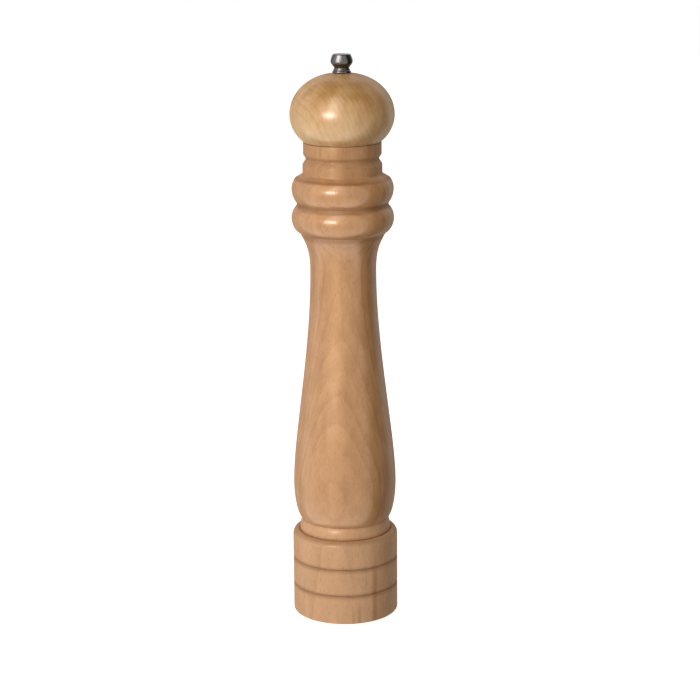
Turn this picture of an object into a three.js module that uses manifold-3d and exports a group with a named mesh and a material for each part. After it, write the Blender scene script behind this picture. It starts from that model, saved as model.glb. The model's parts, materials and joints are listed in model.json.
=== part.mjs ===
/**
 * Turned wooden pepper mill with a screw-adjusted conical grinder.
 *
 * Millimetres, +Z up. The mill's axis is the Z axis and its base stands on z = 0.
 *
 * The head turns the square drive shaft through a plate under its spigot. The shaft
 * turns the rotor burr inside the stator burr. The knob is a nut on the shaft's thread:
 * tightening it lifts the shaft and rotor against the pressure spring, for a finer grind.
 */
import * as THREE from 'three';
import { mergeVertices } from 'three/addons/utils/BufferGeometryUtils.js';
import ManifoldModule from 'manifold-3d';

const manifold = await ManifoldModule();
manifold.setup();

// ---------------------------------------------------------------- driving dimensions

/** Clearance left between neighbouring pieces. */
const GAP = 0.3;

/** How far a cutting tool reaches past the surface it cuts. */
const CUT_OVERLAP = 1;

/** Corners closer than this are one corner. */
const WELD_DISTANCE = 1e-4;

/** Sides of the polygons that stand in for circles. */
const SIDES = { wood: 40, metal: 24, small: 14 };

/** Straight pieces that stand in for each curve of an outline. */
const STEPS = {
  edge: 3,
  topEdge: 5,
  underBelly: 6,
  overBelly: 9,
  overWaist: 5,
  ring: 4,
  ballLower: 6,
  ballUpper: 10,
  knob: 4,
};

/** The straight, grooved base of the body, rounded over at its top. */
const BASE = {
  radius: 28.6,
  top: 46.5,
  footEdge: 1,
  topEdge: { across: 2.8, down: 3.6 },
  grooveHeights: [15.7, 30.6],
  grooveDepth: 0.9,
  grooveHalfWidth: 0.8,
};

/** Groove on top of the base, and the bead that rises from it to the crease under the belly. */
const BEAD_GROOVE = { radius: 24.2, height: 45.9 };
const BEAD = { core: 22.3, bulge: 2.4, height: 46.7, above: 6.5, toDeg: 68 };

/** The widest and narrowest places of the long body, with the reach of their curves' handles. */
const BELLY = { radius: 27.8, height: 73.4, handleBelow: 9.3, handleAbove: 25 };
const WAIST = { radius: 17.6, height: 190.8, handleBelow: 44, handleAbove: 11 };

/** How the long curves start above the bead and end below the rings. */
const BEAD_HANDLE = { out: 2.9, up: 1.5 };
const CREASE_HANDLE = { inward: 2.9, down: 5.5 };

/**
 * Two bead-like rings under the neck. Each bulges from a core radius as parts of two
 * ellipses, one below its widest height and one above, between two angles.
 */
const LOWER_RING = {
  core: 20.6, bulge: 6.55, height: 218.9, below: 8.4, above: 7.9, fromDeg: -70, toDeg: 51,
};
const UPPER_RING = {
  core: 20.2, bulge: 6.8, height: 234.5, below: 9.3, above: 7.9, fromDeg: -48, toDeg: 44,
};
const RING_GROOVE = { radius: 24.1, height: 226.3 };
const UPPER_CREASE = { radius: 24.6, height: 240.2 };

/** Neck between the upper ring and the head. */
const NECK = {
  beadRadius: 21.05,
  beadBottom: 242.4,
  beadTop: 247.4,
  grooveRadius: 19.4,
  grooveBottom: 249.8,
  grooveTop: 250.8,
  bandRadius: 20.7,
  bandBottom: 252.6,
  top: 258.9,
};

/** Bores of the body, from the underside up. */
const RECESS = { radius: 24.4, top: 4.7 };
const STATOR_SEAT = { radius: 19.5, top: 17 };
const CHAMBER = { radius: 12.5 };

/** Ball head and the spigot under it. */
const BALL = {
  height: 273.4,
  radius: 27.6,
  upperCore: 2.8,
  upperRise: 21.5,
  upperDeg: 86,
  lowerCore: 7.9,
  lowerDrop: 18.35,
  footLip: 0.1,
};
const SPIGOT = { radius: 12.1, bottom: 246.2, chamfer: 0.8 };
const HEAD_BORE = { radius: 4.9, step: 286.5, bushingRadius: 4.35 };

/** Flanged bushing in the top of the head, and the bushings at the shaft's two guides. */
const TOP_BUSHING = { inner: 2.5, outer: 4.05, bottom: 288, flangeRadius: 4.9, edge: 0.3 };
const GUIDE_BUSHING = { inner: 4.6, flangeRadius: 7.2, top: 33.2 };
const PIVOT_BUSHING = { flangeRadius: 5.4, bottom: 1.9, top: 4.7 };

/** Metal knob on top of the head. */
const KNOB = {
  bottom: 296.4,
  top: 304.8,
  footRadius: 4.4,
  footHeight: 0.4,
  neckRadius: 3.95,
  neckHeight: 297.4,
  neckFlare: { out: 0.2, up: 1.2 },
  rimRadius: 5.85,
  rimHeight: 300.9,
  rimHandleBelow: 1.5,
  rimHandleAbove: 1.2,
  crownRadius: 4.75,
  crownHeight: 304.4,
  crownFlare: { out: 0.5, down: 1.2 },
  crownEdge: 0.4,
  crownRise: 0.1,
  boreRadius: 3.3,
  boreTop: 302.6,
  insertInset: 0.1,
};

/** Square drive shaft. */
const SHAFT = {
  side: 6,
  pivotRadius: 2.9,
  bottom: 1.8,
  endChamfer: 0.4,
  clipGroove: { radius: 2.2, bottom: 6.05, top: 6.95 },
  squareBottom: 7.85,
  squareTop: 284,
  threadRadius: 1.95,
  threadCore: 1.6,
  threadPitch: 0.7,
  threadBottom: 287.4,
  threadTurns: 19,
  top: 301.5,
};
const SQUARE_HOLE = SHAFT.side + 2 * GAP;

/** Clip in the shaft's groove, and the washer it carries under the rotor. */
const CLIP = { radius: 4.6, bottom: 6.2, top: 6.8, mouthDeg: 40 };
const ROTOR_WASHER = { radius: 5.6, bottom: 7.1, top: 7.7 };

/** Conical grinder. Radii are at the tooth tips. */
const ROTOR = {
  bottom: 8,
  shoulder: 11,
  top: 18.4,
  bottomRadius: 12.6,
  shoulderRadius: 11.4,
  middleRadius: 9.3,
  topRadius: 6.4,
  teeth: 12,
  fineDepth: 0.9,
  coarseDepth: 1.7,
  topDepth: 0.85,
  shoulderTwistDeg: 9,
  middleTwistDeg: 21.6,
  topTwistDeg: 36,
};
const STATOR = {
  bottom: 4.8,
  throat: 9.5,
  top: 15.2,
  outerRadius: 19.1,
  bottomRadius: 14.6,
  throatRadius: 12.8,
  topRadius: 12.2,
  teeth: 24,
  toothDepth: 0.8,
  topDepth: 0.4,
  throatTwistDeg: -6,
  topTwistDeg: -12,
};

/** Fraction of the tooth depth at each of the four points of one tooth. */
const TOOTH_PROFILE = [0, 0.35, 1, 0.65];

/** Stamped bridge clamped between the stator and the top of its seat. */
const BRIDGE = {
  thickness: 1.2,
  width: 8,
  legOuter: 11.4,
  footReach: 17.1,
  ringInner: 12.8,
  ringOuter: 19.1,
  ringBottom: 15.5,
  ringTop: 16.6,
  top: 32.4,
  hubRadius: 8.2,
  holeRadius: 5.5,
};

/** Strip across the underside. */
const CROSSBAR = { bottom: 3, top: 4.4, halfWidth: 4.5, reach: 23.9, holeRadius: 4.2 };

/** Places of the wood screws, measured from the axis. */
const CROSSBAR_SCREW_REACH = 21.8;
const PLATE_SCREW_REACH = 8.2;
const SCREW = {
  headRadius: 2,
  headHeight: 1.3,
  crownRadius: 1.1,
  crownRise: 0.1,
  edgeHeight: 0.65,
  shankRadius: 1.1,
  coreRadius: 0.85,
  threadStart: 2.2,
  threadPitch: 1,
  threadTurns: 3,
  tipLength: 1.5,
  length: 7,
  holeRadius: 1.45,
  slotLength: 2.2,
  slotWidth: 0.5,
  slotDepth: 0.7,
};

/** Plate under the spigot. */
const DRIVE_PLATE = { radius: 11.6, bottom: 244.1, top: 245.9 };

/** Pressure spring, between the rotor and the thrust washer. */
const SPRING = { radius: 6.4, wire: 1.1, bottom: 18.75, top: 28.15, turns: 4.5, endTurns: 1 };
const THRUST_WASHER = { radius: 8, bottom: 28.5, top: 29.7 };

// ---------------------------------------------------------------- geometry helpers

/** A point of a turned outline: distance from the axis, height. */
const at = (radius, height) => new THREE.Vector2(radius, height);

/** Points on an elliptical arc from one angle to another, in degrees from "outwards". */
function arc(centreRadius, centreHeight, radial, axial, fromDeg, toDeg, steps) {
  const points = [];
  for (let i = 0; i <= steps; i += 1) {
    const angle = THREE.MathUtils.degToRad(fromDeg + ((toDeg - fromDeg) * i) / steps);
    points.push(at(centreRadius + radial * Math.cos(angle), centreHeight + axial * Math.sin(angle)));
  }
  return points;
}

/** Points on a cubic curve between two ends, leaving out its first point. */
function sweep(start, startHandle, endHandle, end, steps) {
  return new THREE.CubicBezierCurve(start, startHandle, endHandle, end).getPoints(steps).slice(1);
}

/** Turns a closed outline, given counter-clockwise as (radius, height), about the axis. */
function turned(outline, sides) {
  const closed = [...outline];
  if (outline[0].x > 0) {
    closed.push(outline[0].clone());
  }
  return new THREE.LatheGeometry(closed, sides).rotateX(Math.PI / 2);
}

/** Straight tube or solid rod along the axis. */
function tube(innerRadius, outerRadius, bottom, top, sides) {
  return turned(
    [at(innerRadius, bottom), at(outerRadius, bottom), at(outerRadius, top), at(innerRadius, top)],
    sides,
  );
}

/** Flat plate cut from a shape, lying between two heights. */
function plate(shape, bottom, top, curveSegments = 12) {
  const options = { depth: top - bottom, bevelEnabled: false, curveSegments };
  return new THREE.ExtrudeGeometry(shape, options).translate(0, 0, bottom);
}

/** Round disc shape with a round outline. */
function disc(radius) {
  const shape = new THREE.Shape();
  shape.absarc(0, 0, radius, 0, 2 * Math.PI, false);
  return shape;
}

/** Round hole for a flat shape. */
function roundHole(x, y, radius) {
  const path = new THREE.Path();
  path.absarc(x, y, radius, 0, 2 * Math.PI, true);
  return path;
}

/** Square hole about the axis for a flat shape. */
function squareHole(side) {
  const half = side / 2;
  return new THREE.Path([at(-half, -half), at(-half, half), at(half, half), at(half, -half)]);
}

/** One level of a skin: points around the axis whose radius follows the angle. */
function level(height, sides, radiusAt) {
  const points = [];
  for (let i = 0; i < sides; i += 1) {
    const angle = (2 * Math.PI * i) / sides;
    const radius = radiusAt(angle, i);
    points.push(new THREE.Vector3(radius * Math.cos(angle), radius * Math.sin(angle), height));
  }
  return points;
}

/** Radius of a square's outline at an angle. */
function squareRadius(side) {
  return (angle) => side / 2 / Math.max(Math.abs(Math.cos(angle)), Math.abs(Math.sin(angle)));
}

/**
 * Skin over levels that all have the same number of points. An open skin is a rod and
 * gets flat ends. A closed one joins its last level to its first, so it's a ring.
 */
function skin(levels, isRing) {
  const sides = levels[0].length;
  const points = levels.flat();
  const faces = [];
  const bands = isRing ? levels.length : levels.length - 1;
  for (let band = 0; band < bands; band += 1) {
    const lower = band * sides;
    const upper = ((band + 1) % levels.length) * sides;
    for (let i = 0; i < sides; i += 1) {
      const next = (i + 1) % sides;
      faces.push(lower + i, lower + next, upper + next);
      faces.push(lower + i, upper + next, upper + i);
    }
  }
  if (!isRing) {
    const last = (levels.length - 1) * sides;
    for (let i = 1; i < sides - 1; i += 1) {
      faces.push(0, i + 1, i);
      faces.push(last, last + i, last + i + 1);
    }
  }
  const geometry = new THREE.BufferGeometry().setFromPoints(points);
  geometry.setIndex(faces);
  return geometry;
}

/** Welds a geometry's corners and drops its collapsed triangles. */
function welded(geometry) {
  const bare = geometry.clone();
  bare.deleteAttribute('normal');
  bare.deleteAttribute('uv');
  const merged = mergeVertices(bare, WELD_DISTANCE);
  const corners = merged.index.array;
  const kept = [];
  for (let i = 0; i < corners.length; i += 3) {
    const [a, b, c] = [corners[i], corners[i + 1], corners[i + 2]];
    if (a !== b && b !== c && c !== a) {
      kept.push(a, b, c);
    }
  }
  merged.setIndex(kept);
  return merged;
}

/** A geometry as a solid for adding and cutting. */
function asSolid(geometry) {
  const { attributes, index } = welded(geometry);
  return new manifold.Manifold(new manifold.Mesh({
    numProp: 3,
    vertProperties: new Float32Array(attributes.position.array),
    triVerts: new Uint32Array(index.array),
  }));
}

/** A solid as a geometry again. */
function asGeometry(solid) {
  const mesh = solid.getMesh();
  const geometry = new THREE.BufferGeometry();
  geometry.setAttribute('position', new THREE.BufferAttribute(new Float32Array(mesh.vertProperties), 3));
  geometry.setIndex(new THREE.BufferAttribute(new Uint32Array(mesh.triVerts), 1));
  return geometry;
}

/** First geometry with the others cut away. */
function cut(geometry, ...tools) {
  return asGeometry(tools.reduce((solid, tool) => solid.subtract(asSolid(tool)), asSolid(geometry)));
}

/** All geometries joined into one body. */
function joined(...geometries) {
  return asGeometry(geometries.map(asSolid).reduce((whole, solid) => whole.add(solid)));
}

// ---------------------------------------------------------------- wooden parts

/** V-groove around the base, listed upwards. */
function baseGroove(height) {
  return [
    at(BASE.radius, height - BASE.grooveHalfWidth),
    at(BASE.radius - BASE.grooveDepth, height),
    at(BASE.radius, height + BASE.grooveHalfWidth),
  ];
}

/** Outside of the base and the bead on it, listed upwards. */
function baseOutline() {
  const { radius, top, footEdge, topEdge } = BASE;
  const { across, down } = topEdge;
  return [
    ...arc(radius - footEdge, footEdge, footEdge, footEdge, -90, 0, STEPS.edge),
    ...BASE.grooveHeights.flatMap(baseGroove),
    ...arc(radius - across, top - down, across, down, 0, 90, STEPS.topEdge),
    at(BEAD_GROOVE.radius, BEAD_GROOVE.height),
    at(BEAD.core + BEAD.bulge, BEAD.height),
    ...ringAbove(BEAD),
  ];
}

/** Outside of the belly and waist, listed upwards from the bead. */
function bellyOutline() {
  const bead = ringAbove(BEAD).at(-1);
  const belly = at(BELLY.radius, BELLY.height);
  const waist = at(WAIST.radius, WAIST.height);
  const crease = ringBelow(LOWER_RING)[0];
  const overBead = at(bead.x + BEAD_HANDLE.out, bead.y + BEAD_HANDLE.up);
  const underBelly = at(belly.x, belly.y - BELLY.handleBelow);
  const overBelly = at(belly.x, belly.y + BELLY.handleAbove);
  const underWaist = at(waist.x, waist.y - WAIST.handleBelow);
  const overWaist = at(waist.x, waist.y + WAIST.handleAbove);
  const underCrease = at(crease.x - CREASE_HANDLE.inward, crease.y - CREASE_HANDLE.down);
  return [
    ...sweep(bead, overBead, underBelly, belly, STEPS.underBelly),
    ...sweep(belly, overBelly, underWaist, waist, STEPS.overBelly),
    ...sweep(waist, overWaist, underCrease, crease, STEPS.overWaist),
  ];
}

/** Lower part of a ring's bulge, up to its widest height. */
function ringBelow({ core, height, bulge, below, fromDeg }) {
  return arc(core, height, bulge, below, fromDeg, 0, STEPS.ring);
}

/** Upper part of a ring's bulge, without its widest point. */
function ringAbove({ core, height, bulge, above, toDeg }) {
  return arc(core, height, bulge, above, 0, toDeg, STEPS.ring).slice(1);
}

/** Outside of the two rings and the neck, listed upwards from the crease. */
function collarOutline() {
  return [
    ...ringBelow(LOWER_RING).slice(1),
    ...ringAbove(LOWER_RING),
    at(RING_GROOVE.radius, RING_GROOVE.height),
    ...ringBelow(UPPER_RING),
    ...ringAbove(UPPER_RING),
    at(UPPER_CREASE.radius, UPPER_CREASE.height),
    at(NECK.beadRadius, NECK.beadBottom),
    at(NECK.beadRadius, NECK.beadTop),
    at(NECK.grooveRadius, NECK.grooveBottom),
    at(NECK.grooveRadius, NECK.grooveTop),
    at(NECK.bandRadius, NECK.bandBottom),
    at(NECK.bandRadius, NECK.top),
  ];
}

/** Bore of the body, listed downwards from the mouth. */
function boreOutline() {
  return [
    at(CHAMBER.radius, NECK.top),
    at(CHAMBER.radius, STATOR_SEAT.top),
    at(STATOR_SEAT.radius, STATOR_SEAT.top),
    at(STATOR_SEAT.radius, RECESS.top),
    at(RECESS.radius, RECESS.top),
    at(RECESS.radius, 0),
  ];
}

/** Tool that cuts a wood screw's pilot hole upwards from a surface, either side of the axis. */
function pilotHole(x, surface, top) {
  return tube(0, SCREW.holeRadius, surface - CUT_OVERLAP, top, SIDES.small).translate(x, 0, 0);
}

function millBody() {
  const outline = [...baseOutline(), ...bellyOutline(), ...collarOutline(), ...boreOutline()];
  const holes = [-1, 1].map((side) => (
    pilotHole(side * CROSSBAR_SCREW_REACH, RECESS.top, CROSSBAR.bottom + SCREW.length + GAP)
  ));
  return cut(turned(outline, SIDES.wood), ...holes);
}

/** Angle, in degrees below the widest place, at which the ball's lower curve has a radius. */
function ballLowerAngle(radius) {
  const across = (radius - BALL.lowerCore) / (BALL.radius - BALL.lowerCore);
  return THREE.MathUtils.radToDeg(Math.acos(across));
}

function head() {
  const seat = NECK.top + GAP;
  const startDeg = -ballLowerAngle(NECK.bandRadius + BALL.footLip);
  const lowerWidth = BALL.radius - BALL.lowerCore;
  const upperWidth = BALL.radius - BALL.upperCore;
  const outline = [
    at(SPIGOT.radius - SPIGOT.chamfer, SPIGOT.bottom),
    at(SPIGOT.radius, SPIGOT.bottom + SPIGOT.chamfer),
    at(SPIGOT.radius, seat),
    at(NECK.bandRadius, seat),
    ...arc(BALL.lowerCore, BALL.height, lowerWidth, BALL.lowerDrop, startDeg, 0, STEPS.ballLower),
    ...arc(BALL.upperCore, BALL.height, upperWidth, BALL.upperRise, 0, BALL.upperDeg, STEPS.ballUpper)
      .slice(1),
    at(HEAD_BORE.bushingRadius, BALL.height + BALL.upperRise),
    at(HEAD_BORE.bushingRadius, HEAD_BORE.step),
    at(HEAD_BORE.radius, HEAD_BORE.step),
    at(HEAD_BORE.radius, SPIGOT.bottom),
  ];
  const holes = [-1, 1].map((side) => (
    pilotHole(side * PLATE_SCREW_REACH, SPIGOT.bottom, DRIVE_PLATE.bottom + SCREW.length + GAP)
  ));
  return cut(turned(outline, SIDES.wood), ...holes);
}

// ---------------------------------------------------------------- knob and bushings

function knob() {
  const { bottom, top, footRadius, neckFlare, crownFlare } = KNOB;
  const neck = at(KNOB.neckRadius, KNOB.neckHeight);
  const overNeck = at(neck.x + neckFlare.out, neck.y + neckFlare.up);
  const rim = at(KNOB.rimRadius, KNOB.rimHeight);
  const underRim = at(rim.x, rim.y - KNOB.rimHandleBelow);
  const overRim = at(rim.x, rim.y + KNOB.rimHandleAbove);
  const crown = at(KNOB.crownRadius, KNOB.crownHeight);
  const underCrown = at(crown.x + crownFlare.out, crown.y - crownFlare.down);
  return turned([
    at(0, KNOB.boreTop),
    at(KNOB.boreRadius, KNOB.boreTop),
    at(KNOB.boreRadius, bottom),
    at(footRadius, bottom),
    at(footRadius, bottom + KNOB.footHeight),
    neck,
    ...sweep(neck, overNeck, underRim, rim, STEPS.knob),
    ...sweep(rim, overRim, underCrown, crown, STEPS.knob),
    at(crown.x - KNOB.crownEdge, top - KNOB.crownRise),
    at(0, top),
  ], SIDES.metal);
}

function knobInsert() {
  const inner = SHAFT.threadRadius + GAP;
  const outer = KNOB.boreRadius - GAP;
  return tube(inner, outer, KNOB.bottom + KNOB.insertInset, KNOB.boreTop - GAP, SIDES.small);
}

function topBushing() {
  const { inner, outer, bottom, flangeRadius, edge } = TOP_BUSHING;
  const flangeBottom = BALL.height + BALL.upperRise + GAP;
  const flangeTop = KNOB.bottom - GAP;
  return turned([
    at(inner, bottom),
    at(outer, bottom),
    at(outer, flangeBottom),
    at(flangeRadius, flangeBottom),
    at(flangeRadius, flangeTop - edge),
    at(flangeRadius - edge, flangeTop),
    at(inner, flangeTop),
  ], SIDES.metal);
}

/** Bushing with a flange at its bottom and a plain tube above. */
function flangedBushing(inner, outer, flangeRadius, bottom, flangeTop, top) {
  return turned([
    at(inner, bottom),
    at(flangeRadius, bottom),
    at(flangeRadius, flangeTop),
    at(outer, flangeTop),
    at(outer, top),
    at(inner, top),
  ], SIDES.metal);
}

function guideBushing() {
  const { inner, flangeRadius, top } = GUIDE_BUSHING;
  const flangeTop = BRIDGE.top - BRIDGE.thickness - GAP;
  const outer = BRIDGE.holeRadius - GAP;
  return flangedBushing(inner, outer, flangeRadius, THRUST_WASHER.top + GAP, flangeTop, top);
}

function crossbarBushing() {
  const { flangeRadius, bottom, top } = PIVOT_BUSHING;
  const inner = SHAFT.pivotRadius + GAP;
  const outer = CROSSBAR.holeRadius - GAP;
  return flangedBushing(inner, outer, flangeRadius, bottom, CROSSBAR.bottom - GAP, top);
}

// ---------------------------------------------------------------- shaft and its fittings

/** Thread drawn as evenly spaced ridges. */
function threadLevels(sides) {
  const levels = [];
  const { threadBottom, threadPitch, threadRadius, threadCore, threadTurns } = SHAFT;
  for (let turn = 0; turn < threadTurns; turn += 1) {
    const root = threadBottom + turn * threadPitch;
    levels.push(level(root, sides, () => threadCore));
    levels.push(level(root + threadPitch / 2, sides, () => threadRadius));
  }
  return levels;
}

function driveShaft() {
  const sides = 16;
  const { pivotRadius, clipGroove, squareBottom, squareTop, threadRadius, threadCore } = SHAFT;
  const round = (height, radius) => level(height, sides, () => radius);
  const square = (height) => level(height, sides, squareRadius(SHAFT.side));
  return skin([
    round(SHAFT.bottom, pivotRadius - SHAFT.endChamfer),
    round(SHAFT.bottom + SHAFT.endChamfer, pivotRadius),
    round(clipGroove.bottom, pivotRadius),
    round(clipGroove.bottom, clipGroove.radius),
    round(clipGroove.top, clipGroove.radius),
    round(clipGroove.top, pivotRadius),
    round(squareBottom, pivotRadius),
    square(squareBottom),
    square(squareTop),
    round(squareTop, threadRadius),
    round(SHAFT.threadBottom - SHAFT.threadPitch, threadRadius),
    ...threadLevels(sides),
    round(SHAFT.top - SHAFT.endChamfer, threadCore),
    round(SHAFT.top, threadCore - SHAFT.endChamfer),
  ], false);
}

function thrustWasher() {
  const shape = disc(THRUST_WASHER.radius);
  shape.holes.push(squareHole(SQUARE_HOLE));
  return plate(shape, THRUST_WASHER.bottom, THRUST_WASHER.top);
}

function drivePlate() {
  const shape = disc(DRIVE_PLATE.radius);
  shape.holes.push(squareHole(SQUARE_HOLE));
  shape.holes.push(roundHole(-PLATE_SCREW_REACH, 0, SCREW.holeRadius));
  shape.holes.push(roundHole(PLATE_SCREW_REACH, 0, SCREW.holeRadius));
  return plate(shape, DRIVE_PLATE.bottom, DRIVE_PLATE.top);
}

/** Centre line of the pressure spring, with closer turns at both ends. */
class SpringCurve extends THREE.Curve {
  getPoint(t, target = new THREE.Vector3()) {
    const { turns, endTurns, wire, radius } = SPRING;
    const rise = SPRING.top - SPRING.bottom - wire;
    const endPitch = wire + GAP;
    const midPitch = (rise - 2 * endTurns * endPitch) / (turns - 2 * endTurns);
    const turn = t * turns;
    const lower = Math.min(turn, endTurns);
    const upper = Math.max(turn - (turns - endTurns), 0);
    const middle = turn - lower - upper;
    const height = SPRING.bottom + wire / 2 + (lower + upper) * endPitch + middle * midPitch;
    const angle = 2 * Math.PI * turn;
    return target.set(radius * Math.cos(angle), radius * Math.sin(angle), height);
  }
}

function pressureSpring() {
  const stepsPerTurn = 18;
  const wireShape = disc(SPRING.wire / 2);
  return new THREE.ExtrudeGeometry(wireShape, {
    steps: Math.round(SPRING.turns * stepsPerTurn),
    extrudePath: new SpringCurve(),
    curveSegments: 4,
  });
}

/** C-shaped clip that springs into the shaft's groove. */
function retainingClip() {
  const inner = SHAFT.clipGroove.radius + GAP;
  const mouth = THREE.MathUtils.degToRad(CLIP.mouthDeg);
  const shape = new THREE.Shape();
  shape.absarc(0, 0, CLIP.radius, mouth, 2 * Math.PI - mouth, false);
  shape.absarc(0, 0, inner, 2 * Math.PI - mouth, mouth, true);
  return plate(shape, CLIP.bottom, CLIP.top);
}

function rotorWasher() {
  const { radius, bottom, top } = ROTOR_WASHER;
  return tube(SHAFT.pivotRadius + GAP, radius, bottom, top, SIDES.metal);
}

// ---------------------------------------------------------------- burrs

/** Points around a toothed surface. */
const pointsAround = (teeth) => teeth * TOOTH_PROFILE.length;

/** Level of a toothed surface, turned by `turnDeg` from the bottom one so its teeth lean. */
function toothedLevel(height, tipRadius, depth, teeth, turnDeg) {
  const turn = new THREE.Matrix4().makeRotationZ(THREE.MathUtils.degToRad(turnDeg));
  const radiusAt = (angle, i) => tipRadius + depth * TOOTH_PROFILE[i % TOOTH_PROFILE.length];
  return level(height, pointsAround(teeth), radiusAt).map((point) => point.applyMatrix4(turn));
}

function rotorBurr() {
  const { bottom, shoulder, top, teeth, fineDepth } = ROTOR;
  const middle = (shoulder + top) / 2;
  const bore = (height) => level(height, pointsAround(teeth), squareRadius(SQUARE_HOLE));
  return skin([
    toothedLevel(bottom, ROTOR.bottomRadius, -fineDepth, teeth, 0),
    toothedLevel(shoulder, ROTOR.shoulderRadius, -fineDepth, teeth, ROTOR.shoulderTwistDeg),
    toothedLevel(middle, ROTOR.middleRadius, -ROTOR.coarseDepth, teeth, ROTOR.middleTwistDeg),
    toothedLevel(top, ROTOR.topRadius, -ROTOR.topDepth, teeth, ROTOR.topTwistDeg),
    bore(top),
    bore(bottom),
  ], true);
}

function statorBurr() {
  const { bottom, throat, top, teeth, toothDepth } = STATOR;
  const outside = (height) => level(height, pointsAround(teeth), () => STATOR.outerRadius);
  return skin([
    outside(bottom),
    outside(top),
    toothedLevel(top, STATOR.topRadius, STATOR.topDepth, teeth, STATOR.topTwistDeg),
    toothedLevel(throat, STATOR.throatRadius, toothDepth, teeth, STATOR.throatTwistDeg),
    toothedLevel(bottom, STATOR.bottomRadius, toothDepth, teeth, 0),
  ], true);
}

// ---------------------------------------------------------------- bridge, crossbar, screws

/** Hat-shaped strip of the bridge, seen from the front. */
function bridgeStrip() {
  const { thickness, legOuter, ringBottom, ringTop, top, width } = BRIDGE;
  const foot = BRIDGE.footReach;
  const legInner = legOuter - thickness;
  const half = [
    at(foot, ringBottom),
    at(foot, ringTop),
    at(legOuter, ringTop),
    at(legOuter, top),
  ];
  const mirrored = half.map((point) => at(-point.x, point.y)).reverse();
  const inside = [
    at(-foot, ringBottom),
    at(-legInner, ringBottom),
    at(-legInner, top - thickness),
    at(legInner, top - thickness),
    at(legInner, ringBottom),
  ];
  const shape = new THREE.Shape([...half, ...mirrored.slice(0, -1), ...inside]);
  return plate(shape, -width / 2, width / 2).rotateX(Math.PI / 2);
}

function guideBridge() {
  const { ringInner, ringOuter, ringBottom, ringTop, thickness, top, holeRadius } = BRIDGE;
  const ring = tube(ringInner, ringOuter, ringBottom, ringTop, SIDES.metal);
  const hub = plate(disc(BRIDGE.hubRadius), top - thickness, top);
  const hole = tube(0, holeRadius, top - thickness - CUT_OVERLAP, top + CUT_OVERLAP, SIDES.metal);
  return cut(joined(bridgeStrip(), ring, hub), hole);
}

/** Strip with ends rounded to fit the recess, three holes. */
function crossbar() {
  const { halfWidth, reach } = CROSSBAR;
  const corner = Math.asin(halfWidth / reach);
  const shape = new THREE.Shape();
  shape.absarc(0, 0, reach, -corner, corner, false);
  shape.absarc(0, 0, reach, Math.PI - corner, Math.PI + corner, false);
  shape.closePath();
  shape.holes.push(roundHole(0, 0, CROSSBAR.holeRadius));
  shape.holes.push(roundHole(-CROSSBAR_SCREW_REACH, 0, SCREW.holeRadius));
  shape.holes.push(roundHole(CROSSBAR_SCREW_REACH, 0, SCREW.holeRadius));
  return plate(shape, CROSSBAR.bottom, CROSSBAR.top);
}

/** Ridges of a screw's thread, listed upwards from a height. */
function screwRidges(start) {
  const { threadTurns, threadPitch, shankRadius, coreRadius } = SCREW;
  const ridge = (_, turn) => [
    at(shankRadius, start + turn * threadPitch),
    at(coreRadius, start + (turn + 0.5) * threadPitch),
  ];
  return Array.from({ length: threadTurns }, ridge).flat();
}

/** Wood screw driven upwards, with the flat behind its head at the given height. */
function screw(x, seat) {
  const { headRadius, shankRadius, length, slotLength, slotWidth, slotDepth } = SCREW;
  const crown = seat - SCREW.headHeight;
  const body = turned([
    at(0, crown),
    at(SCREW.crownRadius, crown + SCREW.crownRise),
    at(headRadius, crown + SCREW.edgeHeight),
    at(headRadius, seat),
    at(shankRadius, seat),
    ...screwRidges(seat + SCREW.threadStart),
    at(shankRadius, seat + length - SCREW.tipLength),
    at(0, seat + length),
  ], SIDES.small);
  const slots = [
    new THREE.BoxGeometry(slotLength, slotWidth, 2 * slotDepth).translate(0, 0, crown),
    new THREE.BoxGeometry(slotWidth, slotLength, 2 * slotDepth).translate(0, 0, crown),
  ];
  return cut(body, ...slots).translate(x, 0, 0);
}

// ---------------------------------------------------------------- assembly

const PAINT = {
  bodyWood: { color: 0xc08a58, roughness: 0.45, metalness: 0 },
  headWood: { color: 0xc49560, roughness: 0.4, metalness: 0 },
  nickel: { color: 0xb9b6b0, roughness: 0.15, metalness: 1 },
  brass: { color: 0xb08d57, roughness: 0.35, metalness: 1 },
  steel: { color: 0x8f9296, roughness: 0.35, metalness: 1 },
  burrSteel: { color: 0x5c5d60, roughness: 0.55, metalness: 1 },
};

const group = new THREE.Group();

/** Adds one named piece to the mill. */
function add(name, geometry, paint) {
  const solid = welded(geometry);
  solid.computeVertexNormals();
  const mesh = new THREE.Mesh(solid, new THREE.MeshStandardMaterial(paint));
  mesh.name = name;
  group.add(mesh);
}

add('mill_body', millBody(), PAINT.bodyWood);
add('head', head(), PAINT.headWood);
add('top_bushing', topBushing(), PAINT.nickel);
add('knob', knob(), PAINT.nickel);
add('knob_insert', knobInsert(), PAINT.brass);
add('drive_plate', drivePlate(), PAINT.steel);
add('drive_plate_screw_left', screw(-PLATE_SCREW_REACH, DRIVE_PLATE.bottom - GAP), PAINT.steel);
add('drive_plate_screw_right', screw(PLATE_SCREW_REACH, DRIVE_PLATE.bottom - GAP), PAINT.steel);
add('drive_shaft', driveShaft(), PAINT.steel);
add('thrust_washer', thrustWasher(), PAINT.steel);
add('pressure_spring', pressureSpring(), PAINT.steel);
add('rotor_burr', rotorBurr(), PAINT.burrSteel);
add('rotor_washer', rotorWasher(), PAINT.steel);
add('retaining_clip', retainingClip(), PAINT.steel);
add('stator_burr', statorBurr(), PAINT.burrSteel);
add('guide_bridge', guideBridge(), PAINT.steel);
add('guide_bushing', guideBushing(), PAINT.brass);
add('crossbar', crossbar(), PAINT.steel);
add('crossbar_bushing', crossbarBushing(), PAINT.brass);
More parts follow.
